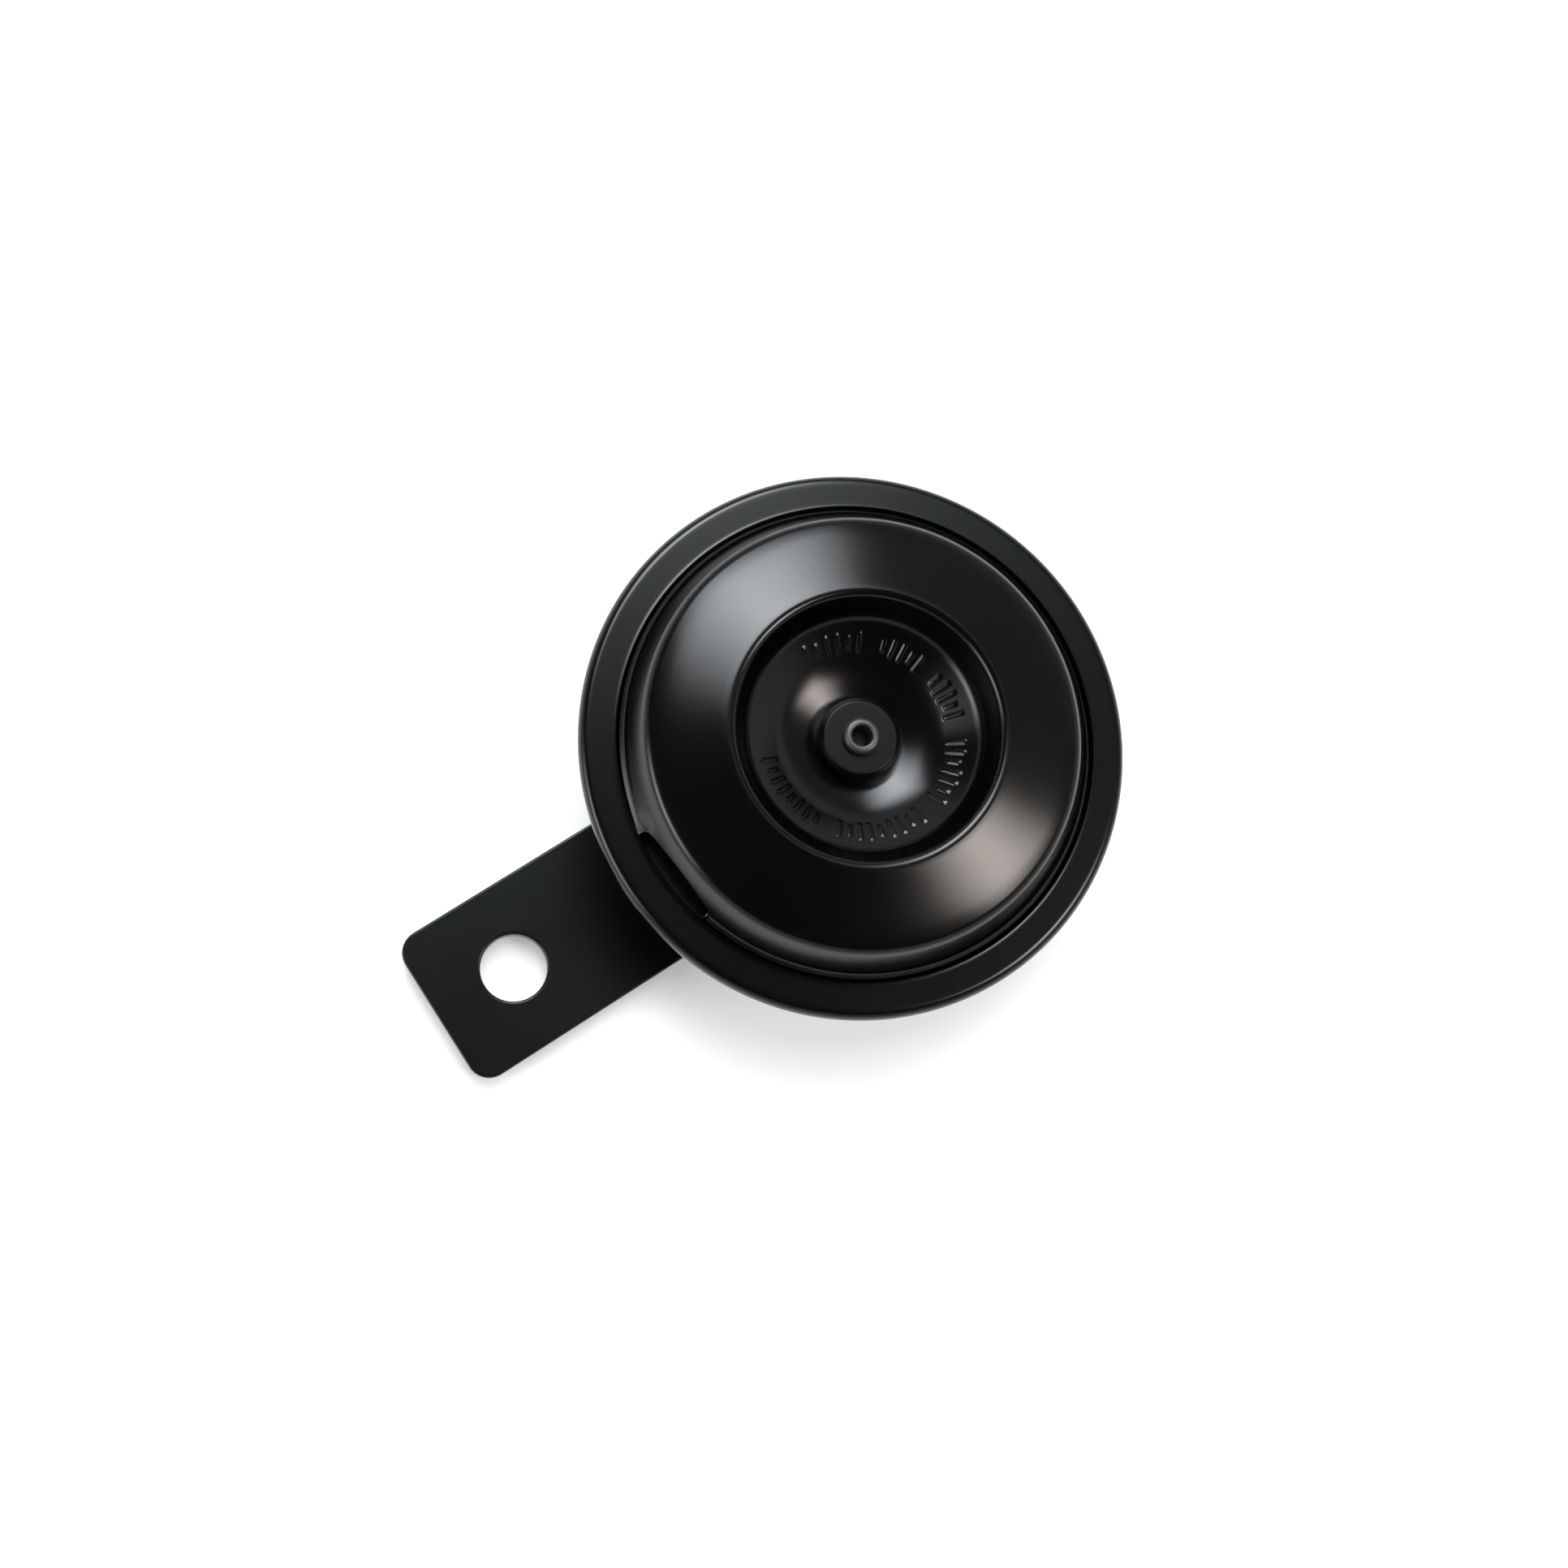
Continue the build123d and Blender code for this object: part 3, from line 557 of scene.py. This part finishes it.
# Sounding disc. Steel sheet drawn into a shallow cone with a deep bowl in its middle, a straight
# sloping wall and a narrow flared lip that ends close to the crimp ring. A notch is cut in lip
# and wall on the strap's side. It is riveted to the plunger's stem and stands free of the ring.
disc_t, disc_hole_r = 0.8, 2.36
disc_step = 0.05
seat_r, seat_h = 5.6, -0.1
lip_low_h = 1.15
lip_h = lip_low_h + 0.7
foot_h = lip_h + 0.42
shoulder_h = foot_h + 4.6
recess_h = shoulder_h + 2.85
dish_h = recess_h - 4.2
dish_middle = (9.5, 2.02)
lip_r = ring_in_r - 0.13
foot_r = lip_r - 0.64
shoulder_r = foot_r - 2.22
recess_r, recess_wall_w = 16.75, 1.85
cone_w, cone_rise = 2.6, 0.8
disc_line = [
    (disc_hole_r, seat_h + disc_t),
    (seat_r, seat_h + disc_t),
    dish_middle,
    (recess_r - recess_wall_w, dish_h),
    (recess_r, recess_h),
    (shoulder_r - cone_w, shoulder_h + cone_rise),
    (shoulder_r, shoulder_h),
    (foot_r, foot_h),
    (lip_r, lip_h),
    (lip_r, lip_low_h),
]
disc_bends = [1.5, 13.0, 2.5, 1.15, 25.0, 2.0, 0.9, 0.18]
disc_top = rounded_path(disc_line, disc_bends, disc_step)
disc_under = beside(rounded_path(disc_line[:-1], disc_bends[:-1], disc_step), -disc_t)

# The notch has a flat inner end with rounded corners, and its sides close in towards the ring.
notch_angle = np.radians(184.4)
notch_in_r = lip_r - 1.6
notch_half, notch_corner = 6.6, 0.65
corner_middle = np.array([notch_in_r + notch_corner, notch_half - notch_corner])
corner_far = np.hypot(*corner_middle)
corner_turn = np.arctan2(corner_middle[1], corner_middle[0]) + np.arcsin(notch_corner / corner_far)
corner_r = np.sqrt(corner_far ** 2 - notch_corner ** 2)
tip_turns = np.radians([11.6, 10.4])
lean_fade, lean_power = np.radians(2.0), 1.45


def notch_cut(turn):
    """Radius at which the notch begins, at each angle from its middle.

    The inner end is flat, so a ray meets it at depth / cos. Past the flat end the ray meets the
    corner's circle at the smaller root of a quadratic.
    """
    flat_end = notch_in_r / np.cos(turn)
    along = corner_middle[0] * np.cos(turn) + corner_middle[1] * np.abs(np.sin(turn))
    beyond = np.maximum(along ** 2 - corner_far ** 2 + notch_corner ** 2, 0)
    on_corner = flat_end * np.abs(np.sin(turn)) > corner_middle[1]
    return np.where(on_corner, along - np.sqrt(beyond), flat_end)


def notch_sides(turn, way):
    """Azimuths of the columns beside the notch.

    Past the corner both side columns lean in towards the notch's middle, by a power of the way
    gone to the lip's lower edge, so that the lip ends there in two slivers. Columns further
    off follow them by a share that fades as exp(-turn) with their distance from the notch.
    """
    after = np.exp(-(turn - corner_turn) / lean_fade)
    before = np.exp(-(2 * np.pi - corner_turn - turn) / lean_fade)
    lean = (corner_turn - tip_turns[1]) * before - (corner_turn - tip_turns[0]) * after
    return notch_angle + turn + lean * way ** lean_power


mark_r, mark_relief = 12.1, 0.13
mark_half_w, mark_soft_w = 0.24, 0.22
mark_pitch = 6.2
mark_half_lengths = [1.1, 0.7, 1.1]
mark_groups = [(-19, 5), (19, 43), (58, 91), (163, 208), (223, 273), (288, 325)]


def raised_marks(r, azimuths):
    """Height of the plain raised marks pressed into the bowl.

    Each mark is a short radial bar. Its distance field is the larger of the distance past its
    half width, measured round the bowl, and past its half length, measured along the radius.
    Height falls smoothly from the full relief to nothing across the soft edge.
    """
    height = 0 * (r + azimuths)
    for start, end in mark_groups:
        count = int(round((end - start) / mark_pitch)) + 1
        for i, angle in enumerate(np.linspace(start, end, count)):
            turn = np.angle(np.exp(1j * (azimuths - np.radians(angle))))
            past_side = np.abs(turn) * mark_r - mark_half_w
            past_end = np.abs(r - mark_r) - mark_half_lengths[i % len(mark_half_lengths)]
            fade = np.clip(0.5 - np.maximum(past_side, past_end) / mark_soft_w, 0, 1)
            height = np.maximum(height, mark_relief * fade * fade * (3 - 2 * fade))
    return height


bend_depth, bend_out, bend_up = 2.4, 0.32, 0.5
bend_fades = np.radians([1.5, 5.0])


def sheet_grid(face, gone, places, azimuths, marked):
    """Grid of one face of the disc: the face's radius and height at each place along the sheet,
    swept to the azimuths. The wall's lower part is bent outwards and up at one end of the
    notch, by the square of the depth below the bend, fading as exp(-turn) away from that end.
    Marks stand up along the sheet's normal."""
    r, h = np.interp(places, gone, face[:, 0]), np.interp(places, gone, face[:, 1])
    turn = np.angle(np.exp(1j * (azimuths - notch_angle + corner_turn)))
    near = np.exp(-np.maximum(turn / bend_fades[0], -turn / bend_fades[1]))
    bent = near * (r > shoulder_r) * np.clip((foot_h + bend_depth - h) / bend_depth, 0, 1) ** 2
    r, h = r + bend_out * bent, h + bend_up * bent
    if marked:
        slope = np.interp(places, gone, np.arctan2(*np.gradient(face, axis=0).T[::-1]))
        lift = raised_marks(r, azimuths)
        r, h = r - lift * np.sin(slope), h + lift * np.cos(slope)
    return np.stack([r * np.cos(azimuths), r * np.sin(azimuths), h + 0 * azimuths], axis=-1)


burr_angle, burr_r, burr_rise = np.radians(196.4), 29.5, 0.45
burr_half_l, burr_half_w, burr_half_t = 0.5, 0.14, 0.06
burr_tilt, burr_climb = np.radians(18), 0.05


def burr_grid():
    """Flake of metal left at the notch's other end: an ellipsoid lying along a radius of the
    disc, point = middle + half axes times (sin * cos, sin * sin, cos), tilted to face outwards."""
    x, y = np.cos(burr_angle), np.sin(burr_angle)
    along = np.array([x, y, burr_climb])
    facing = np.array([0, np.sin(burr_tilt), np.cos(burr_tilt)])
    side = np.cross(facing, along)
    polar = np.linspace(0, np.pi, 13)[:, None, None]
    around = np.linspace(0, 2 * np.pi, 25)[None, :, None]
    middle = np.array([burr_r * x, burr_r * y, lip_h + burr_rise])
    wide = burr_half_w * side * np.sin(polar) * np.cos(around)
    thick = burr_half_t * facing * np.sin(polar) * np.sin(around)
    return middle + burr_half_l * along * np.cos(polar) + (wide + thick)


# Columns and rows of the disc lie close together at the notch, the knees and the raised marks.
inner_turns = np.radians([0, 0.1, 0.25, 0.45, 0.7, 1.0])
outer_turns = np.radians([0, 0.15, 0.35, 0.6, 0.9, 1.25, 1.7])
inner_rest, outer_rest = corner_turn - np.radians(1.4), corner_turn + np.radians(2.2)
inside_turns = np.concatenate([
    -corner_turn + inner_turns,
    np.linspace(-inner_rest, inner_rest, 44),
    corner_turn - inner_turns[::-1],
])
outside_turns = np.concatenate([
    corner_turn + outer_turns,
    np.linspace(outer_rest, 2 * np.pi - outer_rest, 620),
    2 * np.pi - corner_turn - outer_turns[::-1],
])
edge_share = np.interp(np.linspace(0, 1, 21)[1:], [0, 0.4, 1], [0, 0.8, 1])[:, None]
lip_share = np.linspace(0, 1, 11)[1:, None]
top_rows = [
    (disc_hole_r, 5.0, 3),
    (5.2, 7.6, 6),
    (8.2, 10.4, 5),
    (10.6, 13.6, 20),
    (13.8, 15.9, 12),
    (16.0, 17.6, 14),
    (18.4, 26.4, 6),
    (26.8, 28.1, 11),
]
top_radii = np.concatenate([np.linspace(*row) for row in top_rows])
under_radii = [disc_hole_r, 5.0, 6.2, 8.2, 11.0, 13.5, 14.6, 15.3, 16.0, 16.5, 17.4, 21.0, 26.0]
edge_left = 0.1


def disc_face(face, radii, share, marked):
    """The face in two grids: all that lies beside the notch, out to the lip's lower edge, and
    what lies behind the notch, out to its inner end. Rows are set by the way gone along the
    sheet, because the lip's radius hardly changes on its way down. Where a face is narrower
    than the notch's corner, the corner lies a little before the face's end."""
    gone = np.concatenate([[0], np.cumsum(np.linalg.norm(np.diff(face, axis=0), axis=1))])
    rising_r = np.maximum.accumulate(face[:, 0] + 1e-7 * gone)
    inner = np.interp(radii, rising_r, gone)[:, None]
    reach = gone[-1] - edge_left
    corner = min(np.interp(corner_r, rising_r, gone), reach)
    cut = np.minimum(np.interp(notch_cut(inside_turns), rising_r, gone), reach)
    to_corner = inner[-1] + (corner - inner[-1]) * share
    to_edge = corner + (gone[-1] - corner) * lip_share
    beside_places = np.concatenate([inner, to_corner, to_edge]) + 0 * outside_turns
    behind_places = np.concatenate([inner + 0 * inside_turns, inner[-1] + (cut - inner[-1]) * share])
    way = np.clip((beside_places - corner) / (gone[-1] - corner), 0, 1)
    beside_grid = sheet_grid(face, gone, beside_places, notch_sides(outside_turns, way), marked)
    behind_grid = sheet_grid(face, gone, behind_places, notch_angle + inside_turns, marked)
    return beside_grid, behind_grid


top_beside, top_behind = disc_face(disc_top, top_radii, edge_share, True)
under_beside, under_behind = disc_face(disc_under, under_radii, edge_share[3::4], False)
side_rows = len(lip_share) + 1
cut_faces = [
    np.stack([top_beside[-1], under_beside[-1]]),
    np.stack([top_behind[-1], under_behind[-1]]),
    np.stack([top_beside[0], under_beside[0]]),
    np.stack([top_behind[0], under_behind[0]]),
    np.stack([top_beside[-side_rows:, 0], under_beside[-side_rows:, 0]]),
    np.stack([top_beside[-side_rows:, -1], under_beside[-side_rows:, -1]]),
]
disc_grids = [top_beside, top_behind, under_beside, under_behind, *cut_faces, burr_grid()]
placed_grids = [(grid * mm + horn_middle, False, False) for grid in disc_grids]
tone_disc = surface_object("sounding_disc", placed_grids)
disc_peel = {"Scale": 650.0, "Cloud Scale": 45.0, "Roughness": 0.2, "Gloss Spread": 0.04}
disc_paint = finish(
    "disc_paint", mottle, disc_peel, (0.0004, 0.0006, 0.0007), (0.0008, 0.001, 0.0011), 0.0005,
)
standing_for(tone_disc, "tone_disc", disc_paint)


# Middle washer. A thick blackened steel washer, turned, with a bevel round its top. The stem's
# end is riveted over it and clamps it on the disc.
washer_r, washer_bore_r = 5.15, 2.34
washer_low, washer_high = 0.7, 3.0
washer_bevel, bore_edge = 0.55, 0.2
washer_line = [
    (washer_bore_r, washer_high),
    (washer_r - washer_bevel, washer_high),
    (washer_r, washer_high - washer_bevel),
    (washer_r, washer_low),
    (washer_bore_r, washer_low),
    (washer_bore_r, washer_high - bore_edge),
]
washer_loop = rounded_path(washer_line, [0.12, 0.16, 0.1, 0.1], 0.3)
middle_washer = surface_object("middle_washer", [(turned_points(washer_loop, 240), True, True)])
washer_lines = {"Scale": 2400.0, "Roughness": 0.26, "Gloss Spread": 0.1, "Axis X": horn_x}
washer_steel = finish(
    "washer_steel", turning, washer_lines, (0.0012, 0.0011, 0.001), (0.0025, 0.0023, 0.0021), 0.003,
)
standing_for(middle_washer, "tone_disc_washer", washer_steel)


# Strap. One flat strip of 2.5 mm steel, cranked up to the horn's back, with a punched hole for
# the bolt. Its edges are slightly rounded, and the hole's upper edge is drawn in by the punch.
strap_t, strap_half = 2.5, 10.8
strap_end, strap_corner = 11.5, 3.0
hole_r, hole_roll, hole_low_roll = 4.35, 0.35, 0.1
edge_roll = 0.3
crank_begins, crank_ends, crank_rise = 28, 33, 2.5
pad_x = horn_x / mm


def strap_outline(count):
    """Points round the strap's outline seen from above: a half circle about the stud, two long
    sides and a squared end with rounded corners, spaced evenly."""
    swing = np.linspace(-np.pi / 2, np.pi / 2, 200)
    pad = np.stack([pad_x + strap_half * np.cos(swing), strap_half * np.sin(swing)], axis=1)
    ends = [(pad_x, strap_half), (-strap_end, strap_half), (-strap_end, -strap_half), (pad_x, -strap_half)]
    rest = rounded_path(ends, [strap_corner, strap_corner], 0.2)
    line = np.concatenate([pad, rest[1:]])
    passed = np.concatenate([[0], np.cumsum(np.linalg.norm(np.diff(line, axis=0), axis=1))])
    even = np.linspace(0, passed[-1], count, endpoint=False)
    return np.stack([np.interp(even, passed, line[:, 0]), np.interp(even, passed, line[:, 1])], axis=1)


def strap_points(count, rows):
    """Closed strip surface: each column runs from the hole's wall over the top face to the
    outline, round its edge and back along the bottom face. Across a face a point is the
    weighted mean of the hole's circle and the outline in the same direction. The weights are
    powers of even steps, which draws the rows a little closer together near the hole."""
    outline = strap_outline(count)
    angle = np.arctan2(outline[:, 1], outline[:, 0])
    circle = np.stack([np.cos(angle), np.sin(angle)], axis=1)
    away = np.gradient(np.concatenate([outline[-1:], outline, outline[:1]]), axis=0)[1:-1]
    outward = np.stack([away[:, 1], -away[:, 0]], axis=1)
    outward /= np.linalg.norm(outward, axis=1)[:, None]
    quarter = np.linspace(0, np.pi / 2, 7)[:, None, None]
    across = np.linspace(0, 1, rows + 1)[1:-1, None, None]
    top_in, top_out = circle * (hole_r + hole_roll), outline - outward * edge_roll
    low_in, low_out = circle * (hole_r + hole_low_roll), outline - outward * edge_roll / 2
    lines = np.concatenate([
        circle * (hole_r + hole_roll * (1 - np.cos(quarter))),
        top_in + (top_out - top_in) * across ** 1.25,
        outline - outward * edge_roll * (1 - np.sin(quarter)),
        outline - outward * edge_roll / 2 * (1 - np.cos(quarter)),
        low_in + (low_out - low_in) * (1 - across ** 0.8),
        circle * (hole_r + hole_low_roll * (1 - np.sin(quarter))),
    ])
    heights = np.concatenate([
        strap_t - hole_roll * (1 - np.sin(quarter)),
        strap_t + 0 * across,
        strap_t - edge_roll * (1 - np.cos(quarter)),
        edge_roll / 2 * (1 - np.sin(quarter)),
        0 * across,
        hole_low_roll * (1 - np.cos(quarter)),
    ])[:, :, 0]
    return lines, heights


strap_flat, strap_height = strap_points(300, 90)
crank_points = [(-20, 0), (crank_begins, 0), (crank_ends, crank_rise), (70, crank_rise)]
crank_line = rounded_path(crank_points, [4.0, 1.5], 0.25)
crank_way = np.gradient(crank_line, axis=0)
crank_way /= np.linalg.norm(crank_way, axis=1)[:, None]
lift = np.interp(strap_flat[..., 0], crank_line[:, 0], crank_line[:, 1])
lean_x = np.interp(strap_flat[..., 0], crank_line[:, 0], -crank_way[:, 1])
lean_z = np.interp(strap_flat[..., 0], crank_line[:, 0], crank_way[:, 0])
strap_grid = np.stack([
    strap_flat[..., 0] + lean_x * strap_height,
    strap_flat[..., 1],
    lift + lean_z * strap_height,
], axis=-1)
strap = surface_object("mounting_strap", [(strap_grid * mm, True, True)])
strap_peel = {"Scale": 650.0, "Cloud Scale": 45.0, "Roughness": 0.3, "Gloss Spread": 0.06}
strap_paint = finish(
    "strap_paint", mottle, strap_peel, (0.0008, 0.0014, 0.0015), (0.0013, 0.002, 0.0021), 0.0006,
)
standing_for(strap, "strap_bracket", strap_paint)


# Strap fixing. A toothed lock washer and a thin hexagon nut, both zinc plated, hold the strap
# on the core's stud.
dress("lock_washer", zinc)
nut_low, nut_high = [(v.z - float(horn_middle[2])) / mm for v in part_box("stud_nut")]
strap_nut_grids = nut_grids(13.0, 0.7, 4.05, nut_low, nut_high, 0.0, 0.0, 240)
strap_nut = surface_object("strap_nut", strap_nut_grids, 25.0)
standing_for(strap_nut, "stud_nut", zinc)


# Floor and backdrop. One white surface: flat under the horn, then curved up into a low wall,
# far enough off that only the sides of the horn mirror it. It isn't part of the object. It
# glows for the camera and in mirrored rays, and what is mirrored fades as exp(-height).
floor_z = cad_low.z / mm
sweep_r, sweep_h, sweep_bend = 1150.0, 620.0, 350.0
backdrop_glow, fade_per_metre = 0.35, 4.0
sweep_line = [(0, floor_z), (sweep_r, floor_z), (sweep_r, floor_z + sweep_h)]
sweep = rounded_path(sweep_line, [sweep_bend], 60.0)
sweep_turns = np.linspace(0, 2 * np.pi, 96, endpoint=False)
sweep_grid = np.stack([
    sweep[:, :1] * np.cos(sweep_turns) + pad_x,
    sweep[:, :1] * np.sin(sweep_turns),
    sweep[:, 1:] + 0 * sweep_turns,
], axis=-1)
backdrop = surface_object("white_sweep", [(sweep_grid * mm, False, True)])
if backdrop.data.polygons[0].normal.z < 0:
    backdrop.data.flip_normals()
white = bpy.data.materials.new("white_sweep")
white.use_nodes = True
white_tree = white.node_tree
white_shader = white_tree.nodes["Principled BSDF"]
white_shader.inputs["Base Color"].default_value = (0.8, 0.8, 0.8, 1.0)
white_shader.inputs["Roughness"].default_value = 0.9
white_shader.inputs["Specular IOR Level"].default_value = 0.0
seen = white_tree.nodes.new("ShaderNodeLightPath").outputs
mirrored_ray = math_node(white_tree, "MAXIMUM", seen["Is Glossy Ray"], seen["Is Transmission Ray"])
white_where = white_tree.nodes.new("ShaderNodeSeparateXYZ")
white_tree.links.new(white_tree.nodes.new("ShaderNodeTexCoord").outputs["Object"], white_where.inputs[0])
height_down = math_node(white_tree, "MULTIPLY", white_where.outputs[2], -fade_per_metre)
fading = math_node(white_tree, "EXPONENT", height_down)
mirrored_white = math_node(white_tree, "MULTIPLY", mirrored_ray, fading)
seen_white = math_node(white_tree, "MAXIMUM", seen["Is Camera Ray"], mirrored_white)
glow = math_node(white_tree, "MULTIPLY", seen_white, backdrop_glow)
white_shader.inputs["Emission Color"].default_value = (1.0, 1.0, 1.0, 1.0)
white_tree.links.new(glow, white_shader.inputs["Emission Strength"])
backdrop.data.materials.append(white)


# Studio light. A cool softbox and a warm one stand high on opposite sides of the horn, and a
# low one beyond the strap. Three dim panels lift the darkest paint, and a bright lamp overhead,
# which the paint doesn't mirror, lights the floor. The room above is dark.
layer_shrink, layer_gap = 0.26, 0.002


def softbox(name, azimuth, elevation, distance, width, depth, glow, colour, layers=4, mirrored=True):
    """Square-edged lamps of falling size at one place, turned towards the horn's face, so that
    the glow fades from the middle outwards. Azimuth and elevation are in degrees, seen from
    the horn, and the rest is in metres. Each layer gives an equal share of the glow, and its
    power is share * pi * width * depth."""
    a, e = np.radians(azimuth), np.radians(elevation)
    way = Vector((np.cos(a) * np.cos(e), np.sin(a) * np.cos(e), np.sin(e)))
    for layer in range(layers):
        part = 1 - layer_shrink * layer
        data = bpy.data.lights.new(f"{name}_{layer}", "AREA")
        data.shape = "RECTANGLE"
        data.size, data.size_y = width * part, depth * part
        data.energy = glow / layers * np.pi * data.size * data.size_y
        data.color = colour
        lamp = bpy.data.objects.new(f"{name}_{layer}", data)
        scene.collection.objects.link(lamp)
        lamp.location = Vector(horn_middle) + way * (distance - layer_gap * layer)
        lamp.rotation_euler = way.to_track_quat("Z", "Y").to_euler()
        lamp.visible_glossy = mirrored


softbox("cool_softbox", 70.5, 52, 0.7, 0.43, 0.42, 14.0, (0.92, 0.96, 1.0))
softbox("warm_softbox", 307.5, 51.5, 0.7, 0.25, 0.3, 15.0, (1.0, 0.91, 0.85))
softbox("low_softbox", 162, 28, 0.7, 0.5, 0.34, 6.5, (0.97, 0.98, 1.0))
softbox("spill_panel", 40, 64, 0.8, 0.4, 0.4, 0.5, (0.86, 0.95, 1.0), layers=2)
softbox("dim_panel", 5, 38, 0.8, 0.9, 0.5, 0.16, (0.82, 0.94, 1.0), layers=2)
softbox("ceiling_panel", 345, 66, 0.8, 0.4, 0.3, 0.14, (0.86, 0.95, 1.0), layers=2)
softbox("overhead", 60, 78, 0.9, 0.35, 0.35, 11.0, (1.0, 1.0, 1.0), layers=1, mirrored=False)
world = bpy.data.worlds.new("dim_room")
scene.world = world
world.use_nodes = True
world.node_tree.nodes["Background"].inputs["Color"].default_value = (0.036, 0.042, 0.044, 1.0)
world.node_tree.nodes["Background"].inputs["Strength"].default_value = 1.0

scene.view_settings.view_transform = "Standard"
